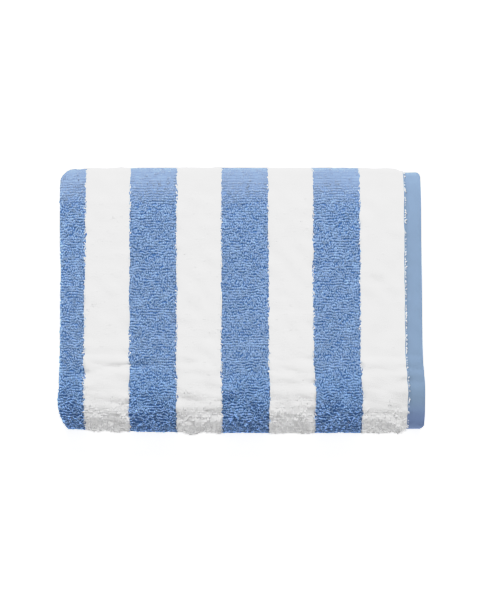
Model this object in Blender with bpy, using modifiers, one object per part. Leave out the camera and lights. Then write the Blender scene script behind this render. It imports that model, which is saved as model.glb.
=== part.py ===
"""Striped terry beach towel: one cloth, folded in half both ways and then in three.

Metres, +Z up. X runs from the folded long edge (-X) to the hemmed long edges (+X), and Y from the
front roll (-Y) to the back one (+Y). The towel lies on Z = 0 with the origin under its middle.

The cloth is folded in half across its width first, so that its fold lies at -X and its two side hems
at +X, then in half along its length, and then in three, with the short ends inside.
"""

import math
from collections import namedtuple

import bpy
from mathutils import Vector

# The cut cloth
CUT_LENGTH = 1.52
STRIPE_WIDTH = 0.0474
STRIPES = 15
SIDE_HEM = 0.0195
END_HEM = 0.022
TERRY_THICK = 0.0030  # ground cloth and the loops on both faces
SIDE_HEM_THICK = 0.0019
END_HEM_THICK = 0.0024
HEM_STEP = 0.0012  # width over which the pile falls to the flat hem
FOLD_SQUEEZE = 0.8  # share of the thickness left where the pile is pressed in a tight fold

# The folded stack
LAYER_GAP = 0.0005
SHEET_PITCH = TERRY_THICK + LAYER_GAP
PAIR_PITCH = 2 * SHEET_PITCH  # the cloth folded in half across
FOUR_PITCH = 2 * PAIR_PITCH  # and in half along
STACK_HEIGHT = 3 * FOUR_PITCH
DEPTH = 0.277
FOLD_OFF_CENTRE = 0.0024  # the long fold lies this far off the middle stripe's centre line
FOLD_ARC = math.pi / 2 * SHEET_PITCH / 2  # cloth in half of the long fold's round
FOLD_BULGE = 1.2 * SHEET_PITCH / 2  # that round sticks out this far
TIGHT_BEND = 1.1 * PAIR_PITCH / 2  # a pair of sheets that bends closer than this is pressed thinner
ENDS_APART = 0.013  # the two short ends lie this far apart inside the stack
UNDER_THIRD_SHORT = 0.014  # the third that is folded under last stops short of the back
FRONT_SLOPE = math.radians(25)  # the top third has bent down this far where the front roll starts
FRONT_SLOPE_RUN = 0.033

# Half the folded towel's width, from the outside of the long fold to the upper sheet's hem
UPPER_SHEET = STRIPES * STRIPE_WIDTH / 2 + FOLD_OFF_CENTRE + SIDE_HEM
HALF_WIDTH = (UPPER_SHEET - FOLD_ARC + FOLD_BULGE + TERRY_THICK / 2) / 2

# How the stack settles
HEM_SAG = 0.13  # share of the height lost towards the hemmed side, which has no roll
HEM_SAG_RUN = 0.110
HEM_DRAW_IN = 0.020  # share of the depth lost at the hems
HEM_DRAW_RUN = 0.010
BACK_SAG = 0.10
BACK_SAG_RUN = 0.062
FOLD_SAG = 0.05
FOLD_SAG_RUN = 0.070
FOLD_DRAW_IN = 0.013
FOLD_DRAW_RUN = 0.085

# The corners, seen from above: how far they draw in, and over what depth
Corner = namedtuple("Corner", "pull reach")
FOLD_CORNER = Corner(pull=0.0085, reach=0.014)
HEM_CORNER = Corner(pull=0.0030, reach=0.006)
CORNER_WIDTH = 0.030  # cloth this close to the side is drawn in with its corner

# Broad swells of the top, as shares of the height, and how far they turn in each metre
Swell = namedtuple("Swell", "share along_x along_y start")
SWELLS = (
    Swell(share=0.0060, along_x=31, along_y=-23, start=2.3),
    Swell(share=0.0060, along_x=31, along_y=23, start=-0.1),
    Swell(share=0.0072, along_x=52, along_y=-37, start=0.0),
)
THICKEST = TERRY_THICK * (1 + sum(swell.share for swell in SWELLS))

# A soft crease on the top third, over the short ends inside
CREASE_FROM = Vector((-0.165, -0.080))
CREASE_TO = Vector((-0.074, -0.068))
CREASE_DEEP = 0.0013
CREASE_WIDE = 0.007
CREASE_FADE = 0.25  # share of its length over which each end fades out

# Steps of the mesh
ROLL_STEPS = 3  # over each half of the long fold's round
HIDDEN_STEPS = 6
TOP_STEPS = 7
SLOPE_STEPS = 3
TURN_STEPS = 7
SMALL_TURN_STEPS = 6
END_HEM_ROWS = 2

# Sideways place of each run of the cloth: the layers don't lie exactly over each other
RUN_SHIFTS = {
    "outer_inside": -0.0016,
    "outer_top": 0.0,
    "outer_under": -0.0009,
    "inner_under": -0.0014,
    "inner_top": -0.0005,
    "inner_inside": -0.0019,
}

# The three finishes, in the order of their material slots
Finish = namedtuple("Finish", "name colour roughness")
FINISHES = (
    Finish("blue_terry", (0.19, 0.31, 0.53), 0.9),
    Finish("white_terry", (0.86, 0.86, 0.86), 0.9),
    Finish("blue_hem", (0.28, 0.40, 0.60), 0.8),
)
HEM_SLOT = 2

# A place along a run of paired sheets: which way its upper sheet lies, and whether it bends tightly
Station = namedtuple("Station", "name place out tight")


def ramp(value):
    """0 below 0, 1 above 1, and a smooth rise between."""
    held = min(max(value, 0.0), 1.0)
    return held * held * (3 - 2 * held)


def clear_scene():
    for old in list(bpy.data.objects):
        bpy.data.objects.remove(old, do_unlink=True)


def plain_material(finish):
    """A Principled material of one colour."""
    made = bpy.data.materials.new(finish.name)
    made.use_nodes = True
    shader = made.node_tree.nodes["Principled BSDF"]
    shader.inputs["Base Color"].default_value = (*finish.colour, 1)
    shader.inputs["Roughness"].default_value = finish.roughness
    shader.inputs["Metallic"].default_value = 0.0
    return made


def spine_pieces():
    """The middle line of the cloth once it is four sheets thick, from its short ends to its half-way fold.

    Each piece is (name, length, bend radius or None, steps), and every bend turns the same way."""
    back_radius = FOUR_PITCH / 2
    front_drop = FRONT_SLOPE_RUN * math.tan(FRONT_SLOPE / 2)
    front_radius = (2 * FOUR_PITCH - front_drop) / (1 + math.cos(FRONT_SLOPE))
    slope_radius = FRONT_SLOPE_RUN / math.sin(FRONT_SLOPE)
    back_centre = DEPTH / 2 - FOUR_PITCH
    front_centre = -DEPTH / 2 + front_radius + FOUR_PITCH / 2
    slope_start = front_centre - front_radius * math.sin(FRONT_SLOPE) + FRONT_SLOPE_RUN
    half_way = DEPTH / 2 - UNDER_THIRD_SHORT - PAIR_PITCH
    after_inside = [
        ("turn", math.pi * back_radius, back_radius, TURN_STEPS),
        ("top", back_centre - slope_start, None, TOP_STEPS),
        ("top", slope_radius * FRONT_SLOPE, slope_radius, SLOPE_STEPS),
        ("turn", front_radius * (math.pi - FRONT_SLOPE), front_radius, TURN_STEPS),
        ("under", half_way - front_centre, None, HIDDEN_STEPS),
    ]
    both_runs = CUT_LENGTH - math.pi * PAIR_PITCH / 2
    inside = both_runs / 2 - sum(length for _, length, _, _ in after_inside)
    start = (back_centre - inside, FOUR_PITCH * 1.5)
    return start, [("inside", inside, None, HIDDEN_STEPS), *after_inside]


def spine_line():
    """Stations down the spine as (run name, y, z, heading, bend radius)."""
    (y, z), pieces = spine_pieces()
    heading = 0.0
    line = [("inside", y, z, heading, None)]
    for name, length, radius, steps in pieces:
        for step in range(1, steps + 1):
            share = length * step / steps
            if radius is None:
                at = (y + share * math.cos(heading), z + share * math.sin(heading), heading)
            else:
                turned = heading + share / radius
                at = (
                    y + radius * (math.sin(turned) - math.sin(heading)),
                    z - radius * (math.cos(turned) - math.cos(heading)),
                    turned,
                )
            line.append((name, *at, radius))
        y, z, heading = line[-1][1:4]
    return line


def side_run(line, side):
    """One pair of sheets beside the spine: side is 1 for the outer run and -1 for the inner one."""
    label = "outer_" if side > 0 else "inner_"
    run = []
    for name, y, z, heading, radius in line:
        out = Vector((0, math.sin(heading), -math.cos(heading)))
        place = Vector((0, y, z)) + out * (side * PAIR_PITCH / 2)
        tight = radius is not None and radius + side * PAIR_PITCH / 2 < TIGHT_BEND
        run.append(Station(label + name, place, out * side, tight))
    first = run[0]._replace(place=run[0].place + Vector((0, side * ENDS_APART / 2, 0)))
    hem_line = first.place + Vector((0, END_HEM, 0))
    past_hem = hem_line + Vector((0, HEM_STEP, 0))
    return [first, first._replace(place=hem_line), first._replace(place=past_hem), *run[1:]]


def half_way_fold(middle):
    """The stations round the fold half-way along the cloth, from the outer run to the inner one."""
    stations = []
    for step in range(1, SMALL_TURN_STEPS):
        turned = math.pi * step / SMALL_TURN_STEPS
        out = Vector((0, math.sin(turned), -math.cos(turned)))
        stations.append(Station("half_way", middle + out * PAIR_PITCH / 2, out, True))
    return stations


def lengthwise_stations():
    """Stations along the whole cloth, from one short end to the other."""
    line = spine_line()
    middle = Vector((0, line[-1][1], line[-1][2]))
    inner = side_run(line, -1)
    return side_run(line, 1) + half_way_fold(middle) + inner[::-1]


def sideways_shifts(stations):
    """Each station's shift in X: even along a straight run, and changing smoothly round a turn."""
    named = [RUN_SHIFTS.get(station.name) for station in stations]
    known = [index for index, shift in enumerate(named) if shift is not None]
    shifts = []
    for index in range(len(stations)):
        before = max(k for k in known if k <= index)
        after = min(k for k in known if k >= index)
        share = ramp((index - before) / max(after - before, 1))
        shifts.append(named[before] + (named[after] - named[before]) * share)
    return shifts


def sheet_stations(side):
    """Distances over one sheet, from the end of the fold's round to the hem: 1 upper sheet, -1 lower."""
    first_border = STRIPE_WIDTH / 2 + side * FOLD_OFF_CENTRE
    borders = [first_border + STRIPE_WIDTH * n for n in range(STRIPES // 2)]
    near_fold = [FOLD_ARC, (FOLD_ARC + first_border) / 2]
    hem_line = borders[-1] + STRIPE_WIDTH
    near_hem = [hem_line - HEM_DRAW_RUN, hem_line, hem_line + HEM_STEP, hem_line + SIDE_HEM]
    return near_fold + borders + near_hem


def across_stations():
    """Distances across the cloth from the fold's apex, minus on the lower sheet and plus on the upper one."""
    round_fold = [FOLD_ARC * step / ROLL_STEPS for step in range(-ROLL_STEPS + 1, ROLL_STEPS)]
    lower = [-distance for distance in reversed(sheet_stations(-1))]
    return lower + round_fold + sheet_stations(1)


def crease(x, y):
    """1 on the crease's line, fading to 0 beside it and towards its ends."""
    run = CREASE_TO - CREASE_FROM
    away = Vector((x, y)) - CREASE_FROM
    along = away.dot(run) / run.length_squared
    beside = abs(away.x * run.y - away.y * run.x) / run.length
    ends = ramp(along / CREASE_FADE) * ramp((1 - along) / CREASE_FADE)
    return ramp(1 - beside / CREASE_WIDE) * ends


def settle(x, y, z):
    """A point of the neat stack after it has settled, and the share of the layers' thickness left there."""
    lost = HEM_SAG * ramp((x - HALF_WIDTH + HEM_SAG_RUN) / HEM_SAG_RUN)
    lost += BACK_SAG * max(0.0, (y - DEPTH / 2 + BACK_SAG_RUN) / BACK_SAG_RUN) ** 2
    lost += FOLD_SAG * max(0.0, (-x - HALF_WIDTH + FOLD_SAG_RUN) / FOLD_SAG_RUN) ** 2
    for swell in SWELLS:
        lost += swell.share * math.sin(swell.along_x * x + swell.along_y * y + swell.start)
    lost += CREASE_DEEP / STACK_HEIGHT * crease(x, y)
    draw_in = HEM_DRAW_IN * ramp((x - HALF_WIDTH + SIDE_HEM + HEM_DRAW_RUN) / HEM_DRAW_RUN)
    draw_in += FOLD_DRAW_IN * max(0.0, (-x - HALF_WIDTH + FOLD_DRAW_RUN) / FOLD_DRAW_RUN) ** 2
    return Vector((x, y * (1 - draw_in), z * (1 - lost))), 1 - lost


def corner_pull(x, place, out):
    """How far a point moves in from the side, so that the stack's corners are round when seen from above.

    It is the same for both sheets of a pair, which keeps them apart."""
    corner = FOLD_CORNER if x < 0 else HEM_CORNER
    inside = DEPTH / 2 - abs(place.y) - abs(out.y) * SHEET_PITCH
    near_end = max(0.0, 1 - inside / corner.reach)
    near_side = max(0.0, 1 - (HALF_WIDTH - abs(x)) / CORNER_WIDTH)
    return -math.copysign(corner.pull * near_end**2 * near_side, x)


def folded_point(station, shift, across):
    """Where the point at that distance across lies, once the cloth is folded and settled."""
    radius = SHEET_PITCH / 2
    apex = -HALF_WIDTH + TERRY_THICK / 2 + shift
    turned = across / radius
    if abs(across) < FOLD_ARC:
        x = apex + FOLD_BULGE * (1 - math.cos(turned))
        lift = radius * math.sin(turned)
    else:
        x = apex + FOLD_BULGE + abs(across) - FOLD_ARC
        lift = math.copysign(radius, across)
    flat_place = station.place + station.out * lift
    pulled = x + corner_pull(x, station.place, station.out)
    return settle(pulled, flat_place.y, flat_place.z - LAYER_GAP / 2)


def thickness_at(row, rows, across):
    """The cloth's thickness: terry, pressed in a tight fold, or one of its woven hems."""
    edge = UPPER_SHEET if across > 0 else UPPER_SHEET - 2 * FOLD_OFF_CENTRE
    thick = TERRY_THICK
    if abs(across) > edge - SIDE_HEM + HEM_STEP / 2:
        thick = SIDE_HEM_THICK
    if min(row, len(rows) - 1 - row) < END_HEM_ROWS:
        thick = min(thick, END_HEM_THICK)
    if rows[row].tight:
        thick *= FOLD_SQUEEZE
    if abs(across) < SHEET_PITCH:
        thick *= FOLD_SQUEEZE
    return thick


def finish_slot(across):
    """The material slot of the cloth at that distance across: its stripe's, or the hem's."""
    stripe = int(abs(across - FOLD_OFF_CENTRE) / STRIPE_WIDTH + 0.5)
    if stripe > STRIPES // 2:
        return HEM_SLOT
    return stripe % 2


def build_towel(collection):
    """The flat cloth as a grid, folded point by point, with its thickness given by Solidify."""
    rows = lengthwise_stations()
    shifts = sideways_shifts(rows)
    columns = across_stations()
    bpy.ops.mesh.primitive_grid_add(
        x_subdivisions=len(columns) - 1, y_subdivisions=len(rows) - 1, size=2
    )
    towel = bpy.context.active_object
    towel.name = "towel"
    towel.data.name = "towel"
    shares = towel.vertex_groups.new(name="thickness")
    column_of = {}
    for vertex in towel.data.vertices:
        column = round((vertex.co.x + 1) / 2 * (len(columns) - 1))
        row = round((vertex.co.y + 1) / 2 * (len(rows) - 1))
        column_of[vertex.index] = column
        vertex.co, left = folded_point(rows[row], shifts[row], columns[column])
        thick = thickness_at(row, rows, columns[column]) * left
        shares.add([vertex.index], thick / THICKEST, "REPLACE")
    for finish in FINISHES:
        towel.data.materials.append(plain_material(finish))
    for face in towel.data.polygons:
        middle = sum(columns[column_of[index]] for index in face.vertices) / len(face.vertices)
        face.material_index = finish_slot(middle)
    towel.data.shade_smooth()
    solid = towel.modifiers.new("cloth thickness", "SOLIDIFY")
    solid.thickness = THICKEST
    solid.offset = 0
    solid.vertex_group = shares.name
    solid.use_even_offset = True
    for holder in list(towel.users_collection):
        holder.objects.unlink(towel)
    collection.objects.link(towel)
    return towel


def centre_on_floor(towel):
    """Moves the mesh so that its box stands on the origin's plane, centred on the origin."""
    depsgraph = bpy.context.evaluated_depsgraph_get()
    corners = [Vector(c) for c in towel.evaluated_get(depsgraph).bound_box]
    low = Vector([min(c[k] for c in corners) for k in range(3)])
    high = Vector([max(c[k] for c in corners) for k in range(3)])
    middle = (low + high) / 2
    for vertex in towel.data.vertices:
        vertex.co -= Vector((middle.x, middle.y, low.z))


def main():
    clear_scene()
    collection = bpy.data.collections.new("beach towel")
    bpy.context.scene.collection.children.link(collection)
    centre_on_floor(build_towel(collection))


main()
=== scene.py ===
import math
from collections import namedtuple

import bpy
import numpy as np
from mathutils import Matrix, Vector


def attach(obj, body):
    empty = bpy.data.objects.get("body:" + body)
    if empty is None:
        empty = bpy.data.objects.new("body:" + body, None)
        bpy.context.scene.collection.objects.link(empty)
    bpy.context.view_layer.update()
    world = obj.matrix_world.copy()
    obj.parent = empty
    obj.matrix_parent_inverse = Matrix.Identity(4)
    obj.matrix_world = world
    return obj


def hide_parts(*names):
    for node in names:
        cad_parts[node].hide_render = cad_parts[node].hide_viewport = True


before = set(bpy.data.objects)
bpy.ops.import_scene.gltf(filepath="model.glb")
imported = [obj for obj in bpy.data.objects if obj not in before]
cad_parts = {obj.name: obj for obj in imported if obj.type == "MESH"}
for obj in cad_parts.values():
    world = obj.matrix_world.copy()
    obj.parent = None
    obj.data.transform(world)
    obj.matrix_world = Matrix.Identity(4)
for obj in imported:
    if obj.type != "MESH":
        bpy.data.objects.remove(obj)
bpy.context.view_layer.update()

# The cut cloth, as in the part
CUT_LENGTH = 1.52
STRIPE_WIDTH = 0.0474
STRIPES = 15
SIDE_HEM = 0.0195
END_HEM = 0.022
TERRY_THICK = 0.0030
HEM_STEP = 0.0012
FOLD_SQUEEZE = 0.8

# The folded stack, as in the part
LAYER_GAP = 0.0005
SHEET_PITCH = TERRY_THICK + LAYER_GAP
PAIR_PITCH = 2 * SHEET_PITCH
FOUR_PITCH = 2 * PAIR_PITCH
DEPTH = 0.277
FOLD_OFF_CENTRE = 0.0024
FOLD_ARC = math.pi / 2 * SHEET_PITCH / 2
FOLD_BULGE = 1.2 * SHEET_PITCH / 2
TIGHT_BEND = 1.1 * PAIR_PITCH / 2
ENDS_APART = 0.013
UNDER_THIRD_SHORT = 0.014
FRONT_SLOPE = math.radians(25)
FRONT_SLOPE_RUN = 0.033
LOWER_SHEET = STRIPES * STRIPE_WIDTH / 2 - FOLD_OFF_CENTRE + SIDE_HEM
UPPER_SHEET = LOWER_SHEET + 2 * FOLD_OFF_CENTRE
HALF_WIDTH = (UPPER_SHEET - FOLD_ARC + FOLD_BULGE + TERRY_THICK / 2) / 2
CENTRED_BY = Vector((0.0008, 0.0002, 0.0))

# How the stack settles, as in the part
HEM_SAG = 0.13
HEM_SAG_RUN = 0.110
HEM_DRAW_IN = 0.020
HEM_DRAW_RUN = 0.010
BACK_SAG = 0.10
BACK_SAG_RUN = 0.062
FOLD_SAG = 0.05
FOLD_SAG_RUN = 0.070
FOLD_DRAW_IN = 0.013
FOLD_DRAW_RUN = 0.085
Corner = namedtuple("Corner", "pull reach")
FOLD_CORNER = Corner(pull=0.0085, reach=0.014)
FRONT_FOLD_CORNER = Corner(pull=0.0088, reach=0.026)
HEM_CORNER = Corner(pull=0.0030, reach=0.006)
CORNER_WIDTH = 0.030
Swell = namedtuple("Swell", "share along_x along_y start")
SWELLS = (
    Swell(share=0.0060, along_x=31, along_y=-23, start=2.3),
    Swell(share=0.0060, along_x=31, along_y=23, start=-0.1),
    Swell(share=0.0072, along_x=52, along_y=-37, start=0.0),
)
RUN_SHIFTS = {
    "outer inside": -0.0016,
    "outer top": 0.0,
    "outer slope": 0.0,
    "outer under": -0.0009,
    "inner under": -0.0014,
    "inner slope": -0.0005,
    "inner top": -0.0005,
    "inner inside": -0.0019,
}

# What is finer than in the part
BLUE_SPREAD = 0.0009  # the blue loops stand this far into the white stripes
HEM_SHOWN = 0.0008  # the hem's blue shows this far between the last white loops
PATH_STEP = 0.0005  # between samples along the folded cloth
FRONT_SKEW = 0.0026  # near the hems, the front roll lies this far further out
FRONT_SKEW_FROM = -0.052
FRONT_SKEW_RUN = 0.050
FRONT_SKEW_SIDE = -0.120  # none from here towards the long fold
HEM_DRAWN = 0.0016  # the side hems are drawn in across by this much
FRONT_HEM_SAG = 0.07  # how much lower the hemmed side lies at the front
FRONT_HEM_SAG_FROM = -0.082
FRONT_HEM_SAG_RUN = 0.045
FRONT_HEM_SAG_WIDE = 0.040
FRONT_HEM_SAG_EASE = 0.030
FRONT_DRAW_IN = 0.018  # how much further back the front roll lies by the long fold
FRONT_DRAW_FROM = -0.020
FRONT_DRAW_RUN = 0.150
BACK_DRAW_OUT = 0.0045  # and how much further out the back roll lies
DRAW_EASE = 0.060  # both from the stack's middle on
FOLD_EDGE_IN = 0.0017  # the long fold lies further in than in the part, but at its ends
FOLD_EDGE_RUN = 0.026
FOLD_EDGE_BACK = 0.100
FOLD_EDGE_BACK_RUN = 0.070
FOLD_EDGE_FRONT = -0.108
FOLD_EDGE_FRONT_RUN = 0.018
EDGE_WANDER = 0.0005  # each layer's edges wander sideways by about this much
LAYER_WAVE = 0.00020  # and up and down by about this much

# Zones along the cloth. Each is 1 from near the start of its first run to near the end of its last one:
# it begins to rise that much early, rises over that length, and falls and ends likewise
Zone = namedtuple("Zone", "first early rise last late fall")
BACK_ROLL = "outer back roll"
FRONT_ROLL = "outer front roll"
UNDER = "outer under"
ZONES = {
    # the edges of this stretch are what shows from above
    "on top": Zone(BACK_ROLL, early=0.0, rise=0.020, last=FRONT_ROLL, late=0.0, fall=0.020),
    # the outer face lies on the floor
    "pressed": Zone(UNDER, early=0.004, rise=0.008, last=UNDER, late=0.002, fall=0.006),
    # the loops lie flat and close together
    "combed": Zone(BACK_ROLL, early=0.0, rise=0.010, last=BACK_ROLL, late=0.034, fall=0.036),
    # the back roll turns down
    "behind": Zone(BACK_ROLL, early=0.0, rise=0.010, last=BACK_ROLL, late=0.001, fall=0.007),
    # the top falls towards the front roll
    "sloped": Zone(FRONT_ROLL, early=0.068, rise=0.030, last=FRONT_ROLL, late=0.0, fall=0.010),
    # the front roll turns down
    "before": Zone(FRONT_ROLL, early=0.025, rise=0.025, last=FRONT_ROLL, late=0.0, fall=0.010),
    # the loops part and curl
    "opened": Zone(FRONT_ROLL, early=0.044, rise=0.040, last=FRONT_ROLL, late=0.0, fall=0.010),
    # short creases run round the front roll
    "wrinkled": Zone(FRONT_ROLL, early=0.016, rise=0.014, last=FRONT_ROLL, late=-0.012, fall=0.010),
    # long creases are pressed in
    "creased": Zone("outer top", early=0.0, rise=0.010, last=FRONT_ROLL, late=-0.012, fall=0.010),
}
SHELL_EARLY = 0.004  # the outer face shows from this much before the back roll
SHELL_LATE = 0.003  # to this much after the half-way fold
SHELL_EASE = 0.004
FACE_EASE = 0.002

# Numbers that differ between the blue stripes and the white ones
Pair = namedtuple("Pair", "blue white")
PARTING_UNEVEN = Pair(blue=0.010, white=0.005)  # the line along which the loops part wanders by this
COMBED_CLOSED = 0.72  # how close the blue loops stand on the back roll, where the white ones stand at 1
WHITE_OPENS = 0.24  # the white loops stand less close before the front roll, by this share

# The face's relief
CLUMP_HEIGHT = 0.00026  # the pile's soft clumps
CLUMPS = Pair(blue=0.75, white=2.8)
SMALL_CLUMPS = Pair(blue=0.40, white=0.85)
COMBED_FLATTER = 0.6  # less high on the back roll, by this share
WRINKLE_DEPTH = 0.00090  # round the front roll
WRINKLE_WIDE = 0.55
WRINKLED = Pair(blue=1.0, white=0.3)
CURL_HEIGHT = 0.00020  # the parted pile's uneven rows
CURL_ONSET = Pair(blue=3, white=2)  # powers
CURL_RIDGE = 0.00050  # and its curled ridges in the white stripes
RIDGE_WIDE = 0.4
WHITE_UNCURLED = 0.60  # the white rows are less uneven, by this share
WHITE_CURLS = 0.75  # but not where the front roll turns down
HEM_RELIEF = 0.3  # the side hems have this share of the relief
HEM_EASE = 0.004

# Creases pressed into the top, seen from above
Crease = namedtuple("Crease", "start end deep wide")
CREASES = (
    Crease(start=(-0.188, -0.0841), end=(-0.124, -0.0691), deep=0.0013, wide=0.006),
    Crease(start=(-0.1365, -0.0700), end=(-0.071, -0.0655), deep=0.0018, wide=0.006),
    Crease(start=(-0.166, -0.1262), end=(-0.112, -0.1278), deep=0.0015, wide=0.0035),
    Crease(start=(0.020, -0.110), end=(0.075, -0.1135), deep=0.0006, wide=0.0035),
    Crease(start=(-0.062, -0.1165), end=(-0.012, -0.112), deep=0.0006, wide=0.0035),
    Crease(start=(0.100, -0.1185), end=(0.160, -0.115), deep=0.0005, wide=0.0035),
)
CREASE_FADE = 0.25
CREASE_BACK = 0.6  # the wall at the back is narrower, as a share
CREASE_FRONT = 1.4

# The ground cloth's mesh: steps along it, for each run of the fold, and across it
ROW_STEPS = {
    BACK_ROLL: 0.0027,
    "outer top": 0.0048,
    "outer slope": 0.0018,
    FRONT_ROLL: 0.0017,
    UNDER: 0.0095,
    "half way": 0.0010,
    "inner back roll": 0.0010,
    "inner front roll": 0.0020,
}
HIDDEN_ROW_STEP = 0.0105
CREASED_RUN = 0.034  # the last of the top, where the creases are, has a finer mesh
CREASED_STEP = 0.0014
TOP_COLUMN_STEP = 0.0052
UNDER_COLUMN_STEP = 0.0120
FOLD_COLUMNS = 13
HEM_COLUMNS = 4
BORDER_STEP = 0.0004
EDGE_ROUNDING = ((0.0010, 1.0), (0.0004, 0.86), (0.0001, 0.62), (0.0, 0.35))  # distances and shares of it

# The ground cloth between the loops, and the hems
SHOWN_GROUND = 0.0025  # where modelled loops stand on it
CLOSED_GROUND = Pair(blue=0.0039, white=0.00412)  # where they stand close
OPENED_GROUND = 0.0014  # where the blue ones part, on the front roll
WHITE_SUNK = 0.0002  # how much thinner it is under the white loops there
HIDDEN_GROUND = 0.0027  # where its thickness takes in the loops that aren't modelled
FLOOR_CLEAR = 0.0002  # so that none of it comes under the floor
SIDE_HEM_THICK = 0.0018
END_HEM_THICK = 0.0023

# The pile
ROW_PITCH = 0.0026
LOOP_PITCH = 0.00095
PITCH_SPREAD = 0.13  # how far the loops are from even places, as a share of the pitch
ROW_START = (0.2, 0.8)  # a row's first loop stands between these shares of its pitch in
UNDER_PITCH = 2.0  # the loops pressed on the floor are this many times further apart
UNDER_LONGER = 0.35  # and longer and wider, by these shares
UNDER_WIDER = 0.62
BARE_ENDS = 0.002  # no loops stand this near the towel's ends
YARN_WIDE = 0.00102
YARN_DEEP = 0.00068
YARN_SPREAD = 0.15  # of a loop's length and its yarn's width
ROOT_HEIGHT = 0.00045
CROWN_HEIGHT = 0.00225
PRESSED_CROWN = 0.00140  # under the towel
FOLD_LOWER = 0.00035  # the loops are this much lower by the long fold
FOLD_LOWER_RUN = 0.008125
CROWN_SPREAD = 0.00020  # of the loops' heights, partly with their neighbours and partly each by itself
CROWN_FIELD = 0.65
CROWN_LOOSE = 0.8
LEAN_FIELD = 0.00034  # patches of the pile lean the same way
LEAN_LOOSE = 0.00038  # and each loop by itself
LEAN_ACROSS = 0.65  # shares of both that are kept
LEAN_ALONG = 0.75
HELD = {"pressed": 0.4, "combed": 0.4, "opened": 0.15}  # how much less they lean in these zones
PATCHY = 0.6  # some patches are looser than others
PATCHY_RANGE = (0.25, 2.0)
ROW_WANDER = 0.00010  # out of their straight rows
ROW_WAVE = 4.0  # how much of it neighbouring loops have in common
ROW_CURL = 5.0  # and where the pile is parted
BLUE_ROW_CURL = 0.5  # half as much in the rest of the blue stripes
TWIST_SPREAD = math.radians(13)
TWIST_FIELD = 0.8
TILT_SPREAD = 0.08  # how much lower a loop's far side is, as a share of its height
OPENED_TILT = 0.45
PILE_ROUND_FOLD = 0.0065  # loops are modelled this far past the long fold's apex
PILE_FLOOR_CLEAR = 0.00004
SKIN_STEP_LEAST = 1e-9
SKIN_RATES = (0.4, 1.6)  # the least and most by which a distance on the skin changes on the middle line

# Matted patches of the blue loops: how strong two fields are in them, and where they are less marked
MATTED_WIDE = 0.3
MATTED_SMALL = 0.2
OPENED_UNMATTED = 0.7  # by this share where the pile is parted
COMBED_MATTED = 0.7  # while the back roll is all matted, at least this much

# Single loops that stand up, and loops that curl, where the pile is parted
STRAY_SHARE = 0.12
STRAY_ONSET = Pair(blue=1, white=4)  # powers
STRAY_RISE = 0.0007
CURLED_RISE = Pair(blue=0.00030, white=0.00022)
# painted light and shade: curled loops lighter where they rise and darker where they sink
CURLED_PAINTED_LIGHT = Pair(blue=1.8, white=1.1)
WHITE_CURLED = 0.4  # the white loops curl this much
WHITE_CURLED_BEFORE = 0.9  # and this much more where the front roll turns down

# How the pile and the ground change over the cloth: each quality is a sum of shares, in blue and in white
# stripes, of how strongly a place belongs to a zone, to the given power
Change = namedtuple("Change", "zone blue white power", defaults=(1,))
ALWAYS = Change("all", 1.0, 1.0)
CHANGES = {
    "rows' wave": (ALWAYS, Change("sloped", 0.6, 0.0)),
    "out of row": (Change("all", 2.7, 1.0), Change("combed", -1.7, 0.0), Change("opened", 1.3, 0.0)),
    "held in row": (ALWAYS, Change("closed", 0.0, -0.75)),
    "loose": (Change("all", 1.0, 0.35),),
    "lean along": (ALWAYS, Change("closed", 0.0, -0.6)),
    "twist": (ALWAYS, Change("opened", 1.3, 0.0), Change("opened", 0.0, 0.7, power=3)),
    "crown spread": (Change("all", 1.0, 0.25), Change("combed", -0.25, -0.25)),
    "crown": (ALWAYS, Change("closed", -0.12, -0.12), Change("opened", 0.08, 0.08)),
    "length spread": (ALWAYS, Change("opened", 0.6, 0.6)),
    "length": (ALWAYS, Change("closed", 0.0, 0.85), Change("matted", 0.20, 0.20)),
    "parted length": (ALWAYS, Change("opened", -0.28, 0.0)),
    "width": (ALWAYS, Change("closed", 0.0, 0.40), Change("matted", 0.15, 0.15)),
    "tone spread": (Change("all", 1.0, 0.5), Change("combed", -0.25, -0.25), Change("opened", 0.5, 0.5)),
    # painted light and shade: the blue crowns lighter where the pile parts and the front roll turns down,
    # the white ones darker there, and both darker on the slope and the back roll
    "tone": (
        Change("opened", 1.2, -1.2),
        Change("sloped", -0.35, -1.6),
        Change("before", 3.1, 0.5),
        Change("behind", -1.4, -5.5),
        Change("combed", -1.2, 0.0, power=3),
    ),
    # painted shade: how much darker each loop is towards its feet, standing in for the shade between the
    # loops, more where the pile parts
    "deep": (
        Change("all", 0.34, 0.0),
        Change("opened", 0.86, 0.0),
        Change("matted", -0.25, 0.0),
        Change("opened", 0.0, 0.14, power=3),
    ),
    # painted shade over the ground cloth: darker on the front roll, the slope and the back roll
    "greyed": (
        Change("opened", 0.12, 0.165),
        Change("opened", 0.0, -0.12, power=2),
        Change("sloped", 0.05, 0.05),
        Change("combed", 0.08, 0.08, power=3),
    ),
}
PAINTED_SHADE_BEHIND = 0.20  # painted shade on the back roll, on the hems too
TONE_SPREAD = 0.65  # between the loops
TONE_MOST = 1.5

# A loop's stations: place along its row's width and height, as shares of its size, and the share of its
# tilt that lowers it. Its yarn is full but at its feet, which come to a point in the ground cloth
Station = namedtuple("Station", "along height dips full")
LOOP_STATIONS = (
    Station(along=-0.48, height=0.0, dips=0, full=0),
    Station(along=-0.36, height=1.0, dips=0, full=1),
    Station(along=0.36, height=0.97, dips=1, full=1),
    Station(along=0.48, height=0.0, dips=0, full=0),
)
LOOP_LONG = 0.00232  # from foot to foot
YARN_SIDES = tuple(math.radians(a) for a in (90, 210, 330))
MAP_MARGIN = 0.0016  # round the flat map, in metres of cloth

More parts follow.
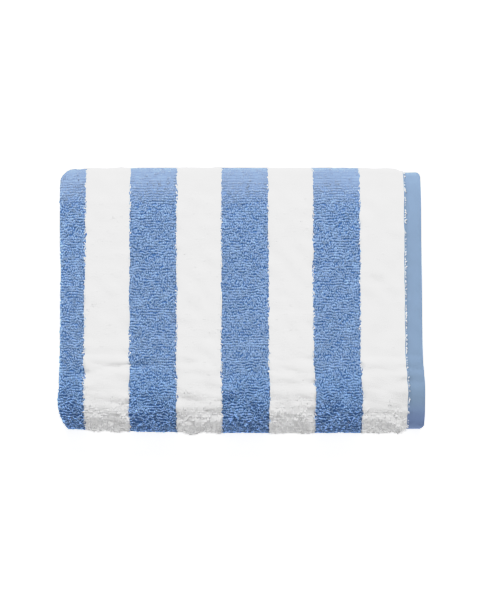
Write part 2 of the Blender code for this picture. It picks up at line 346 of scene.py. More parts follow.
# Along a stripe's border, white loops fall across it
BORDER_REACH = 0.0030  # those this near it
BORDER_FALL = 1.4  # how far at most, as a share of the lean
BORDER_ROWS = 0.5  # how much of it a row's loops have in common
BORDER_LEAN = 0.0013
HEM_LEAN = 0.7  # and further by the hem, by this share
BLUE_LEAN = -0.35  # the blue ones lean away, by this share of it
HEM_FALL_LEAST = 0.35
BORDER_TWIST = math.radians(55)
BORDER_RISE = 0.00035  # they stand this much higher
BORDER_SHORT = 0.25  # and are shorter along their row's width, by this share
BORDER_PAINTED_LIGHT = 3.0  # and this much lighter, painted light that lifts the shade on their turned flanks
HEM_TEETH_PAINTED_LIGHT = 9.0  # or this much by the hem

# The lengths of the random fields' swells over their two distances, in the order in which they are drawn
CLOTH_FIELDS = {
    "wander": (0.10, 1.0),
    "layer wave": (0.075, 0.16),
    "clumps": (0.026, 0.017),
    "small clumps": (0.010, 0.0075),
    "wrinkles": (0.046, 0.0085),
    "parting": (0.030, 0.020),
    "curls": (0.015, 0.0065),
}
PILE_FIELDS = {
    "lean across": (0.013, 0.009),
    "lean along": (0.012, 0.016),
    "loose": (0.024, 0.018),
    "rows' wave": (0.010, 0.016),
    "rows' curl": (0.0060, 0.0065),
    "matted": (0.036, 0.022),
    "small matted": (0.012, 0.008),
    "tall": (0.009, 0.006),
    "curls": (0.0060, 0.0036),
}
FIELD_WAVES = 22  # sines that make up one field
FIELD_STRETCH = (0.6, 1.4)  # the lengths of its swells vary by this
FIELD_SWING = 1.4  # so that few places are beyond -1 and 1
SEED = 7


# ---------------------------------------------------------------- numbers


def ramp(value):
    """0 below 0, 1 above 1, and a smooth rise between."""
    held = np.clip(value, 0.0, 1.0)
    return held * held * (3 - 2 * held)


def stripe_of(across):
    """The number of the stripe at that distance across, counted from the middle one: even ones are blue."""
    place = np.abs(across - FOLD_OFF_CENTRE) / STRIPE_WIDTH + 0.5
    number = np.floor(place)
    into = (place - number) * STRIPE_WIDTH
    spread = BLUE_SPREAD * (number % 2)
    shown = number - (into < spread) + (into > STRIPE_WIDTH - spread)
    return np.minimum(shown, STRIPES // 2).astype(int)


def of_pair(pair, white):
    """The pair's number for each place, by its stripe's colour."""
    return np.where(white, pair.white, pair.blue)


def changed(quality, zones, white):
    """What the zones make of a quality at each place."""
    total = 0.0
    for change in CHANGES[quality]:
        total = total + of_pair(change, white) * zones[change.zone] ** change.power
    return total


class Field:
    """A smooth random field over two distances, from about -1 to 1, whose swells have the given lengths."""

    def __init__(self, rng, long_u, long_v):
        turn = rng.uniform(0, 2 * math.pi, FIELD_WAVES)
        stretch = rng.uniform(*FIELD_STRETCH, FIELD_WAVES)
        self.u = 2 * math.pi * np.cos(turn) * stretch / long_u
        self.v = 2 * math.pi * np.sin(turn) * stretch / long_v
        self.start = rng.uniform(0, 2 * math.pi, FIELD_WAVES)

    def __call__(self, u, v):
        total = np.zeros(np.broadcast(u, v).shape)
        for along_u, along_v, start in zip(self.u, self.v, self.start):
            total += np.sin(along_u * u + along_v * v + start)
        return total * math.sqrt(FIELD_SWING / FIELD_WAVES)


# ---------------------------------------------------------------- the fold

Stretch = namedtuple("Stretch", "name length radius")


def spine():
    """The middle line of the cloth once it is four sheets thick: where it starts, and its stretches."""
    back_radius = FOUR_PITCH / 2
    front_drop = FRONT_SLOPE_RUN * math.tan(FRONT_SLOPE / 2)
    front_radius = (2 * FOUR_PITCH - front_drop) / (1 + math.cos(FRONT_SLOPE))
    slope_radius = FRONT_SLOPE_RUN / math.sin(FRONT_SLOPE)
    back_centre = DEPTH / 2 - FOUR_PITCH
    front_centre = -DEPTH / 2 + front_radius + FOUR_PITCH / 2
    slope_start = front_centre - front_radius * math.sin(FRONT_SLOPE) + FRONT_SLOPE_RUN
    half_way = DEPTH / 2 - UNDER_THIRD_SHORT - PAIR_PITCH
    after_inside = [
        Stretch("back roll", math.pi * back_radius, back_radius),
        Stretch("top", back_centre - slope_start, None),
        Stretch("slope", slope_radius * FRONT_SLOPE, slope_radius),
        Stretch("front roll", front_radius * (math.pi - FRONT_SLOPE), front_radius),
        Stretch("under", half_way - front_centre, None),
    ]
    both_runs = CUT_LENGTH - math.pi * PAIR_PITCH / 2
    inside = both_runs / 2 - sum(stretch.length for stretch in after_inside)
    start = (back_centre - inside, FOUR_PITCH * 1.5)
    return start, [Stretch("inside", inside, None), *after_inside]


def run_samples(side):
    """Samples of one run of paired sheets, from its short end to the half-way fold: 1 outer, -1 inner."""
    label = "outer " if side > 0 else "inner "
    (y, z), stretches = spine()
    y += side * ENDS_APART / 2
    heading = 0.0
    samples = []
    for stretch in stretches:
        length = stretch.length - (side * ENDS_APART / 2 if stretch.name == "inside" else 0.0)
        count = round(length / PATH_STEP)
        gone = np.arange(count + 1) * length / count
        if stretch.radius is None:
            headings = np.full(count + 1, heading)
            ys = y + gone * math.cos(heading)
            zs = z + gone * math.sin(heading)
        else:
            headings = heading + gone / stretch.radius
            ys = y + stretch.radius * (np.sin(headings) - math.sin(heading))
            zs = z - stretch.radius * (np.cos(headings) - math.cos(heading))
        out_y = np.sin(headings)
        out_z = -np.cos(headings)
        far = side * PAIR_PITCH / 2
        tight = stretch.radius is not None and stretch.radius + far < TIGHT_BEND
        columns = (ys + out_y * far, zs + out_z * far, out_y * side, out_z * side)
        samples.append((label + stretch.name, tight, np.stack(columns, 1)[:-1]))
        y, z, heading = ys[-1], zs[-1], headings[-1]
    return samples, (y, z)


class FoldedCloth:
    """Where each point of the flat towel lies once it is folded.

    A point is given by its distance along the cloth, on the middle line between two paired sheets, its
    distance across from the long fold's apex, and its height over the cloth on the fold's outer side."""

    def __init__(self, rng):
        outer, (y, z) = run_samples(1)
        inner, _ = run_samples(-1)
        turned = np.linspace(0, math.pi, round(math.pi * PAIR_PITCH / 2 / PATH_STEP) + 1)[:-1]
        out_y = np.sin(turned)
        out_z = -np.cos(turned)
        far = PAIR_PITCH / 2
        fold = np.stack((y + out_y * far, z + out_z * far, out_y, out_z), 1)
        backwards = [(name, tight, rows[::-1]) for name, tight, rows in inner[::-1]]
        parts = [*outer, ("half way", True, fold), *backwards]
        self.rows = np.concatenate([rows for _, _, rows in parts])
        steps = np.linalg.norm(np.diff(self.rows[:, :2], axis=0), axis=1)
        self.length = np.concatenate([[0.0], np.cumsum(steps)])
        ends = np.cumsum([0] + [len(rows) for _, _, rows in parts])
        last = len(self.length) - 1
        self.spans = {
            name: (self.length[low], self.length[min(high, last)])
            for (name, _, _), low, high in zip(parts, ends, ends[1:])
        }
        self.tight = np.concatenate([np.full(len(rows), float(tight)) for _, tight, rows in parts])
        self.fields = {name: Field(rng, *lengths) for name, lengths in CLOTH_FIELDS.items()}
        wander = EDGE_WANDER * self.fields["wander"](self.length, 0.0)
        self.shift = self.shifts(parts, ends) + wander * (1 - self.zone("on top", self.length))
        skin = self.rows[:, :2] + self.rows[:, 2:] * (SHEET_PITCH + TERRY_THICK) / 2
        steps = np.linalg.norm(np.diff(skin, axis=0), axis=1)
        self.skin_length = np.concatenate([[0.0], np.cumsum(steps)])

    def shifts(self, parts, ends):
        """The sideways place of each sample: even along the straight runs, smoothly changed in a turn."""
        shift = np.empty(len(self.length))
        for index, (_, _, rows) in enumerate(parts):
            before = next(RUN_SHIFTS[n] for n, _, _ in parts[index::-1] if n in RUN_SHIFTS)
            after = next(RUN_SHIFTS[n] for n, _, _ in parts[index:] if n in RUN_SHIFTS)
            share = ramp(np.arange(len(rows)) / len(rows))
            shift[ends[index]:ends[index + 1]] = before + (after - before) * share
        return shift

    def zone(self, name, along, uneven=0.0):
        """1 in that zone and 0 outside it, with soft ends. An uneven start is that much earlier."""
        zone = ZONES[name]
        begun = along - self.spans[zone.first][0] + zone.early + uneven
        left = self.spans[zone.last][1] + zone.late - along
        return ramp(begun / zone.rise) * ramp(left / zone.fall)

    def zones(self, along, across):
        """How strongly each place belongs to each zone."""
        white = stripe_of(across) % 2
        found = {name: self.zone(name, along) for name in ZONES}
        uneven = of_pair(PARTING_UNEVEN, white) * self.fields["parting"](across, along)
        found["opened"] = self.zone("opened", along, uneven)
        white_closed = white * (1 - WHITE_OPENS * found["before"] ** 2)
        found["closed"] = np.maximum(COMBED_CLOSED * found["combed"], white_closed)
        found["all"] = 1.0
        return found

    def shell(self):
        """The stretch of the cloth whose outer face shows, from the back roll to past the half-way fold."""
        return self.spans[BACK_ROLL][0] - SHELL_EARLY, self.spans["half way"][1] + SHELL_LATE

    def shown(self, along, across):
        """1 where the cloth's outer face shows, and 0 where it lies inside the stack."""
        low, high = self.shell()
        on_shell = ramp((along - low) / SHELL_EASE) * ramp((high - along) / SHELL_EASE)
        outer_side = ramp((across + PILE_ROUND_FOLD) / FACE_EASE)
        by_fold = ramp((PILE_ROUND_FOLD - np.abs(across)) / FACE_EASE)
        return np.maximum(on_shell * outer_side, by_fold)

    def relief(self, x, y, along, across):
        """How far the shown face stands out, with its clumps, wrinkles, curled rows and creases."""
        white = stripe_of(across) % 2
        zones = self.zones(along, across)
        clumps = of_pair(CLUMPS, white) * self.fields["clumps"](x, along)
        clumps += of_pair(SMALL_CLUMPS, white) * self.fields["small clumps"](x, along)
        free = (1 - zones["pressed"]) * (1 - COMBED_FLATTER * zones["combed"])
        stands = CLUMP_HEIGHT * clumps * free
        wrinkles = ramp(1 - np.abs(self.fields["wrinkles"](x, along)) / WRINKLE_WIDE)
        stands -= WRINKLE_DEPTH * wrinkles * zones["wrinkled"] * of_pair(WRINKLED, white)
        curls = self.fields["curls"](x, along)
        curled = zones["opened"] ** of_pair(CURL_ONSET, white)
        curled *= 1 - white * (WHITE_UNCURLED - WHITE_CURLS * zones["before"])
        stands += CURL_HEIGHT * curls * curled
        stands += CURL_RIDGE * ramp(1 - np.abs(curls) / RIDGE_WIDE) * curled * white
        for crease in CREASES:
            stands -= self.pressed_in(crease, x, y) * zones["creased"]
        on_hem = ramp((across - UPPER_SHEET + SIDE_HEM + HEM_EASE / 2) / HEM_EASE)
        return stands * self.shown(along, across) * (1 - (1 - HEM_RELIEF) * on_hem)

    def pressed_in(self, crease, x, y):
        """How deep a crease is at a place seen from above."""
        run = Vector(crease.end) - Vector(crease.start)
        away_x = x - crease.start[0]
        away_y = y - crease.start[1]
        part = (away_x * run.x + away_y * run.y) / run.length_squared
        beside = (away_x * run.y - away_y * run.x) / run.length
        beside = np.where(beside < 0, -beside / CREASE_BACK, beside / CREASE_FRONT)
        ends = ramp(part / CREASE_FADE) * ramp((1 - part) / CREASE_FADE)
        return crease.deep * ramp(1 - beside / crease.wide) * ends

    def settled(self, x, y, z):
        """A point of the neat stack after it has settled."""
        by_hems = x - HALF_WIDTH
        by_fold = -x - HALF_WIDTH
        lost = HEM_SAG * ramp((by_hems + HEM_SAG_RUN) / HEM_SAG_RUN)
        at_front = ramp((FRONT_HEM_SAG_FROM - y) / FRONT_HEM_SAG_RUN)
        lost += FRONT_HEM_SAG * at_front * ramp((by_hems + FRONT_HEM_SAG_WIDE) / FRONT_HEM_SAG_EASE)
        lost += BACK_SAG * np.maximum(0.0, (y - DEPTH / 2 + BACK_SAG_RUN) / BACK_SAG_RUN) ** 2
        lost += FOLD_SAG * np.maximum(0.0, (by_fold + FOLD_SAG_RUN) / FOLD_SAG_RUN) ** 2
        for swell in SWELLS:
            lost += swell.share * np.sin(swell.along_x * x + swell.along_y * y + swell.start)
        draw_in = HEM_DRAW_IN * ramp((by_hems + SIDE_HEM + HEM_DRAW_RUN) / HEM_DRAW_RUN)
        draw_in += FOLD_DRAW_IN * np.maximum(0.0, (by_fold + FOLD_DRAW_RUN) / FOLD_DRAW_RUN) ** 2
        draw_in += FRONT_DRAW_IN * ramp((FRONT_DRAW_FROM - x) / FRONT_DRAW_RUN) * ramp(-y / DRAW_EASE)
        draw_in -= BACK_DRAW_OUT * ramp(y / DRAW_EASE)
        edge_in = FOLD_EDGE_IN * ramp((by_fold + FOLD_EDGE_RUN) / FOLD_EDGE_RUN)
        edge_in = edge_in * ramp((FOLD_EDGE_BACK - y) / FOLD_EDGE_BACK_RUN)
        x = x + edge_in * ramp((y - FOLD_EDGE_FRONT) / FOLD_EDGE_FRONT_RUN)
        at_front = ramp((FRONT_SKEW_FROM - y) / FRONT_SKEW_RUN)
        skewed = x + FRONT_SKEW * at_front * (x - FRONT_SKEW_SIDE) / (HALF_WIDTH - FRONT_SKEW_SIDE)
        return skewed, y * (1 - draw_in), z * (1 - lost)

    def corner_pull(self, x, place_y, out_y):
        """How far a point moves in from the side, so that the stack's corners are round from above."""
        places = (x >= 0, place_y < 0)
        corners = (HEM_CORNER, FRONT_FOLD_CORNER)
        pull = np.select(places, [corner.pull for corner in corners], FOLD_CORNER.pull)
        reach = np.select(places, [corner.reach for corner in corners], FOLD_CORNER.reach)
        inside = DEPTH / 2 - np.abs(place_y) - np.abs(out_y) * SHEET_PITCH
        near_end = np.maximum(0.0, 1 - inside / reach)
        near_side = np.maximum(0.0, 1 - (HALF_WIDTH - np.abs(x)) / CORNER_WIDTH)
        return -np.copysign(pull * near_end**2 * near_side, x)

    def point(self, along, across, height=0.0):
        """The folded places of points of the cloth, as an array of x, y and z."""
        rows = [np.interp(along, self.length, self.rows[:, k]) for k in range(4)]
        place_y, place_z, out_y, out_z = rows
        shift = np.interp(along, self.length, self.shift)
        turned = np.clip(across * 2 / SHEET_PITCH, -math.pi / 2, math.pi / 2)
        beyond = np.maximum(0.0, np.abs(across) - FOLD_ARC)
        x = -HALF_WIDTH + TERRY_THICK / 2 + shift + FOLD_BULGE * (1 - np.cos(turned)) + beyond
        edge = np.where(across > 0, UPPER_SHEET, LOWER_SHEET)
        x = x - HEM_DRAWN * ramp(1 - (edge - np.abs(across)) / SIDE_HEM)
        x = x + self.corner_pull(x, place_y, out_y)
        over = height + self.relief(x, place_y + out_y * SHEET_PITCH / 2, along, across)
        waves = LAYER_WAVE * self.fields["layer wave"](along, across)
        lift = (SHEET_PITCH / 2 + over) * np.sin(turned) + waves * (1 - self.zone("pressed", along))
        x = x - over * np.cos(turned)
        y = place_y + out_y * lift
        z = place_z + out_z * lift - LAYER_GAP / 2
        places = np.stack(np.broadcast_arrays(*self.settled(x, y, z)), -1)
        return places + np.array(CENTRED_BY)

    def on_skin(self, skin_along):
        """Distances along the middle line for distances measured on the outermost skin."""
        return np.interp(skin_along, self.skin_length, self.length)


# ---------------------------------------------------------------- the ground cloth


def stepped(low, high, step):
    """Even places from low up to, but not including, high, about a step apart."""
    count = max(1, round((high - low) / step))
    return low + (high - low) * np.arange(count) / count


def cloth_rows(cloth):
    """Where the ground cloth's mesh has its rows, finer where it shows and where it bends."""
    rows = [[0.0], [END_HEM * 0.5]]
    end = cloth.length[-1]
    for name, (low, high) in cloth.spans.items():
        low = max(low, END_HEM + HEM_STEP)
        high = min(high, end - END_HEM - HEM_STEP)
        if name == "outer top":
            rows.append(stepped(high - CREASED_RUN, high, CREASED_STEP))
            high -= CREASED_RUN
        rows.append(stepped(low, high, ROW_STEPS.get(name, HIDDEN_ROW_STEP)))
    ends = [END_HEM, end - END_HEM - HEM_STEP, end - END_HEM, end - END_HEM * 0.5, end]
    return np.unique(np.concatenate([*rows, ends]).round(7))


def cloth_columns():
    """Where it has its columns: round the long fold, over the stripes, and over the hems."""
    round_fold = np.linspace(-FOLD_ARC, FOLD_ARC, FOLD_COLUMNS)
    columns = [round_fold]
    for side, edge, step in ((1, UPPER_SHEET, TOP_COLUMN_STEP), (-1, LOWER_SHEET, UNDER_COLUMN_STEP)):
        hem_line = edge - SIDE_HEM
        near_hem = [hem_line - HEM_STEP, hem_line, hem_line + HEM_STEP]
        over_hem = np.linspace(hem_line + HEM_STEP, edge - EDGE_ROUNDING[0][0], HEM_COLUMNS)[1:-1]
        rounded = [edge - place for place, _ in EDGE_ROUNDING]
        number = np.arange(STRIPES // 2)
        borders = side * FOLD_OFF_CENTRE + STRIPE_WIDTH * (number + 0.5)
        borders += BLUE_SPREAD * np.where(number % 2, -1, 1) + BORDER_STEP / 2
        stops = [FOLD_ARC, *borders, near_hem[0]]
        terry = [stepped(low, high, step) for low, high in zip(stops, stops[1:])]
        terry = np.concatenate([*terry, borders - BORDER_STEP])[1:]
        columns.append(side * np.concatenate([terry, near_hem, over_hem, rounded]))
    return np.unique(np.concatenate(columns).round(7))


def cloth_thickness(cloth, along, across):
    """The ground cloth's thickness: thin under modelled loops, pressed in tight folds, flat at the hems."""
    white = stripe_of(across) % 2
    zones = cloth.zones(along, across)
    bare = SHOWN_GROUND + (OPENED_GROUND - SHOWN_GROUND) * zones["opened"] * (1 - white)
    bare = bare + (of_pair(CLOSED_GROUND, white) - bare) * zones["closed"]
    bare = bare - WHITE_SUNK * white * zones["opened"] ** 3
    thick = HIDDEN_GROUND + (bare - HIDDEN_GROUND) * cloth.shown(along, across)
    tight = np.interp(along, cloth.length, cloth.tight)
    squeeze = 1 - (1 - FOLD_SQUEEZE) * np.maximum(tight, ramp(2 - np.abs(across) / SHEET_PITCH))
    edge = np.where(across > 0, UPPER_SHEET, LOWER_SHEET)
    to_edge = edge - np.abs(across)
    places, shares = np.array(EDGE_ROUNDING[::-1]).T
    hem = SIDE_HEM_THICK * np.interp(to_edge, places, shares)
    thick = np.where(to_edge < SIDE_HEM - HEM_STEP / 2, hem, thick)
    from_end = np.minimum(along, cloth.length[-1] - along)
    thick = np.where(from_end < END_HEM + HEM_STEP / 2, np.minimum(thick, END_HEM_THICK), thick)
    return thick * squeeze


def keep_on(mesh, values):
    """Keeps numbers for the mesh's points on it, under their names, for the finishes to read."""
    for name, numbers in values.items():
        stored = mesh.attributes.new(name, "FLOAT", "POINT")
        stored.data.foreach_set("value", numbers.astype(np.float32))


def add_flat_map(mesh, across, along, root=None, strips=1):
    """Lays the mesh out as the flat cloth: a map for its patterns, and the same distances in metres.

    The map is cut into strips side by side, and root says where along the cloth each point belongs."""
    root = along if root is None else root
    low = root.min()
    long = np.ptp(root) / strips
    strip = np.minimum((root - low) // long, strips - 1)
    wide = np.ptp(across) + 2 * MAP_MARGIN
    laid = np.stack([
        (strip * wide + across - across.min() + MAP_MARGIN) / (strips * wide),
        (along - low - strip * long + MAP_MARGIN) / (long + 2 * MAP_MARGIN),
    ], 1)
    corners = np.empty(len(mesh.loops), np.int32)
    mesh.loops.foreach_get("vertex_index", corners)
    flat = mesh.uv_layers.get("OFBake") or mesh.uv_layers.new(name="OFBake")
    flat.uv.foreach_set("vector", laid[corners].astype(np.float32).ravel())
    keep_on(mesh, {"across": across, "along": along})


def build_cloth(cloth):
    """The towel's ground cloth and hems: the flat cloth as a grid, folded, and thickened by Solidify."""
    rows = cloth_rows(cloth)
    columns = cloth_columns()
    bpy.ops.mesh.primitive_grid_add(
        x_subdivisions=len(columns) - 1, y_subdivisions=len(rows) - 1, size=2
    )
    sheet = bpy.context.active_object
    sheet.name = "towel_cloth"
    mesh = sheet.data
    mesh.name = "towel_cloth"
    while mesh.uv_layers:
        mesh.uv_layers.remove(mesh.uv_layers[0])
    flat = np.empty(len(mesh.vertices) * 3, np.float32)
    mesh.vertices.foreach_get("co", flat)
    flat = flat.reshape(-1, 3)
    across = columns[np.rint((flat[:, 0] + 1) / 2 * (len(columns) - 1)).astype(int)]
    along = rows[np.rint((flat[:, 1] + 1) / 2 * (len(rows) - 1)).astype(int)]
    places = cloth.point(along, across)
    mesh.vertices.foreach_set("co", places.astype(np.float32).ravel())
    add_flat_map(mesh, across, along)
    zones = cloth.zones(along, across)
    terry = np.abs(across - FOLD_OFF_CENTRE) < STRIPE_WIDTH * STRIPES / 2
    # painted shade and light kept on the mesh: shade over the cloth and hems, light that pales the back
    # roll, and shade on the hems where the front roll turns down
    greyed = terry * changed("greyed", zones, stripe_of(across) % 2) + PAINTED_SHADE_BEHIND * zones["behind"]
    keep_on(mesh, {"faded": zones["combed"], "dimmed": zones["before"], "greyed": greyed})
    mesh.shade_smooth()
    over_floor = 2 * places[:, 2] - FLOOR_CLEAR
    thick = np.minimum(cloth_thickness(cloth, along, across), over_floor)
    fullest = float(thick.max())
    shares = sheet.vertex_groups.new(name="thickness")
    for index, share in enumerate(thick / fullest):
        shares.add([index], float(share), "REPLACE")
    solid = sheet.modifiers.new("thickness", "SOLIDIFY")
    solid.thickness = fullest
    solid.offset = 0
    solid.vertex_group = shares.name
    solid.use_even_offset = True
    return sheet


# ---------------------------------------------------------------- the pile


def loop_roots(cloth, rng):
    """Where the loops stand: their distances along and across, and the spacing each was given."""
    shell_low, shell_high = cloth.shell()
    low, high = (np.interp(end, cloth.length, cloth.skin_length) for end in (shell_low, shell_high))
    hem_line = UPPER_SHEET - SIDE_HEM
    rows = []
    skin = low
    while skin < high:
        along = float(cloth.on_skin(skin))
        spacing = 1 + (UNDER_PITCH - 1) * float(cloth.zone("pressed", along))
        rows.append((along, -PILE_ROUND_FOLD, hem_line, spacing))
        skin += ROW_PITCH * spacing
    before = stepped(BARE_ENDS, shell_low, ROW_PITCH)
    after = stepped(shell_high, cloth.length[-1] - BARE_ENDS, ROW_PITCH)
    rows += [(along, -PILE_ROUND_FOLD, PILE_ROUND_FOLD, 1.0) for along in (*before, *after)]
    alongs, acrosses, spacings = [], [], []
    for along, left, right, spacing in rows:
        pitch = LOOP_PITCH * spacing
        place = left + pitch * (np.arange(int((right - left) / pitch)) + rng.uniform(*ROW_START))
        acrosses.append(place + rng.normal(0, PITCH_SPREAD, len(place)) * pitch)
        alongs.append(np.full(len(place), along))
        spacings.append(np.full(len(place), spacing))
    return np.concatenate(alongs), np.concatenate(acrosses), np.concatenate(spacings)


class Pile:
    """All the towel's modelled loops: short three-sided tubes of yarn with both feet in the ground cloth."""

    def __init__(self, cloth, rng):
        self.cloth = cloth
        rings = [range(len(YARN_SIDES) if station.full else 1) for station in LOOP_STATIONS]
        self.at_station = np.array([station for station, ring in enumerate(rings) for _ in ring])
        self.at_side = np.array([side for ring in rings for side in ring])
        self.row, self.across, spacing = loop_roots(cloth, rng)
        self.count = len(self.row)
        self.stripe = stripe_of(self.across)
        self.white = self.stripe % 2
        self.blue = 1 - self.white
        self.zones = cloth.zones(self.row, self.across)
        self.fields = {name: Field(rng, *lengths) for name, lengths in PILE_FIELDS.items()}
        self.drawn = {name: field(self.across, self.row) for name, field in self.fields.items()}
        self.mat()
        self.part(rng)
        self.lay(rng)
        self.shape(spacing, rng)
        self.tint(rng)
        self.spread_borders(rng)

    def made(self, quality):
        """What the zones make of that quality of each loop."""
        return changed(quality, self.zones, self.white)

    def mat(self):
        """Finds the matted patches, in the blue stripes and on the back roll."""
        opened, combed = self.zones["opened"], self.zones["combed"]
        patches = MATTED_WIDE * self.drawn["matted"] + MATTED_SMALL * self.drawn["small matted"]
        patches = ramp(0.5 + patches)
        on_back = COMBED_MATTED + (1 - COMBED_MATTED) * patches
        matted = patches * self.blue * (1 - OPENED_UNMATTED * opened) * (1 - combed)
        self.zones["matted"] = matted + on_back * combed

    def part(self, rng):
        """Finds how far each loop curls and which ones stand up, where the pile is parted."""
        opened = self.zones["opened"]
        in_white = opened * (WHITE_CURLED + WHITE_CURLED_BEFORE * self.zones["before"])
        self.curled = self.drawn["curls"] * opened * np.where(self.white, in_white, 1.0)
        strays = STRAY_SHARE * opened ** of_pair(STRAY_ONSET, self.white)
        self.stray = rng.random(self.count) < strays

    def lay(self, rng):
        """Moves the loops out of their straight rows, leans them and turns them."""
        drawn = self.drawn
        opened = self.zones["opened"]
        held = math.prod(1 - share * self.zones[zone] for zone, share in HELD.items())
        patchy = np.clip(1 + PATCHY * drawn["loose"], *PATCHY_RANGE)
        wander = ROW_WAVE * drawn["rows' wave"] * self.made("rows' wave")
        wander += rng.normal(0, 1, self.count) * patchy * self.made("out of row")
        in_blue = BLUE_ROW_CURL * self.blue * (1 - self.zones["combed"])
        wander += ROW_CURL * drawn["rows' curl"] * np.maximum(opened, in_blue)
        self.along = self.row + ROW_WANDER * wander * self.made("held in row")
        loose = LEAN_LOOSE * patchy * held * self.made("loose")
        self.lean_u = LEAN_FIELD * drawn["lean across"] + loose * rng.normal(0, 1, self.count)
        self.lean_v = LEAN_FIELD * drawn["lean along"] + loose * rng.normal(0, 1, self.count)
        self.lean_u *= LEAN_ACROSS
        self.lean_v *= LEAN_ALONG * self.made("lean along")
        turned = TWIST_FIELD * self.fields["lean across"](self.row, self.across)
        self.twist = TWIST_SPREAD * (rng.normal(0, 1, self.count) * held + turned) * self.made("twist")

    def shape(self, spacing, rng):
        """Gives each loop its height, its length, its tilt and its yarn's width."""
        uneven = CROWN_FIELD * self.drawn["tall"] + CROWN_LOOSE * rng.normal(0, 1, self.count)
        crown = (CROWN_HEIGHT + CROWN_SPREAD * uneven * self.made("crown spread")) * self.made("crown")
        crown += STRAY_RISE * self.stray + of_pair(CURLED_RISE, self.white) * self.curled
        crown -= FOLD_LOWER * ramp(1 - np.abs(self.across) / FOLD_LOWER_RUN)
        self.crown = crown + (PRESSED_CROWN - crown) * self.zones["pressed"]
        full = (1 + UNDER_LONGER * (spacing - 1)) * self.made("parted length") * self.made("length")
        self.long = (1 + rng.normal(0, YARN_SPREAD, self.count) * self.made("length spread")) * full
        tilt = rng.normal(0, TILT_SPREAD, self.count) + OPENED_TILT * self.zones["opened"]
        self.tilt = tilt * (1 - self.zones["closed"])
        full = (1 + UNDER_WIDER * (spacing - 1)) * self.made("width")
        self.wide = rng.normal(1, YARN_SPREAD, self.count) * full

    def tint(self, rng):
        """Says how light each loop is, how much painted shade darkens its feet, how much painted light pales
        it on the back roll, and how much painted light tints it on the slope.
        """
        tone = np.clip(rng.normal(0, TONE_SPREAD, self.count), -TONE_MOST, TONE_MOST)
        # painted light and shade on the curled loops; the loops that stand up are made lighter too, a
        # painted highlight
        curled = of_pair(CURLED_PAINTED_LIGHT, self.white) * self.curled * (1 + self.blue * self.zones["before"])
        # the zones add painted light and shade to each loop's random tone
        self.tone = tone * self.made("tone spread") + self.stray + curled + self.made("tone")
        self.deep = self.made("deep")
        # painted light: the back roll is paler
        self.faded = self.zones["combed"]
        # painted light: the slope's more saturated tint, up to where the front roll turns down
        self.rich = self.zones["sloped"] * (1 - self.zones["before"])

    def spread_borders(self, rng):
        """Lets the white loops along a stripe's border fall across it."""
        place = (self.across - FOLD_OFF_CENTRE) / STRIPE_WIDTH + 0.5
        within = (place - np.floor(place)) * STRIPE_WIDTH
        left = ramp(1 - within / BORDER_REACH)
        right = ramp(1 - (STRIPE_WIDTH - within) / BORDER_REACH)
        rows = np.unique(self.row, return_inverse=True)[1]
        in_common = rng.uniform(0.0, BORDER_FALL, rows.max() + 1)[rows]
        falls = BORDER_ROWS * in_common + (1 - BORDER_ROWS) * rng.uniform(0.0, BORDER_FALL, self.count)
        by_hem = (self.stripe == STRIPES // 2) & (within > STRIPE_WIDTH / 2)
        falls = np.where(by_hem, HEM_FALL_LEAST + (1 - HEM_FALL_LEAST) * falls, falls)
        share = falls * (right - left)
        size = np.abs(share)
        self.lean_u += BORDER_LEAN * np.where(self.white, 1 + HEM_LEAN * by_hem, BLUE_LEAN) * share
        self.twist += BORDER_TWIST * self.white * share * rng.choice((-1, 1), self.count)
        self.crown += BORDER_RISE * self.white * size
        # painted light: the loops that fall across a border are made lighter, and most of all by the hem
        self.tone += np.where(by_hem, HEM_TEETH_PAINTED_LIGHT, BORDER_PAINTED_LIGHT * self.white) * size
        self.long *= 1 - BORDER_SHORT * self.white * np.minimum(1.0, size)

    def tubes(self, chosen):
        """The chosen loops' points: how far across, along and high each is from where its loop stands."""
        along, height, dips, full = np.array(LOOP_STATIONS).T
        rise = height - dips * self.tilt[chosen, None]
        v = along * LOOP_LONG * self.long[chosen, None]
        h = ROOT_HEIGHT + (self.crown[chosen, None] - ROOT_HEIGHT - YARN_DEEP / 2) * rise
        cos = np.cos(self.twist[chosen])[:, None]
        sin = np.sin(self.twist[chosen])[:, None]
        lean_u = self.lean_u[chosen, None] * rise**2
        lean_v = self.lean_v[chosen, None] * rise**2
        line = np.stack([-v * sin + lean_u, v * cos + lean_v, h], -1)
        run = np.gradient(line, axis=1)
        run /= np.linalg.norm(run, axis=2, keepdims=True)
        beside = np.stack([cos, sin, np.zeros_like(cos)], -1)
        above = np.cross(np.broadcast_to(beside, run.shape), run)
        above /= np.linalg.norm(above, axis=2, keepdims=True)
        full = full[:, None] * self.wide[chosen, None, None]
        sides = []
        for turn in YARN_SIDES:
            wide = YARN_WIDE / 2 * math.cos(turn) * full
            deep = YARN_DEEP / 2 * math.sin(turn) * full
            sides.append(line + beside * wide + above * deep)
        return np.stack(sides, 2)[:, self.at_station, self.at_side]

    def mesh(self, name, chosen):
        """One mesh of the chosen loops."""
        local = self.tubes(chosen)
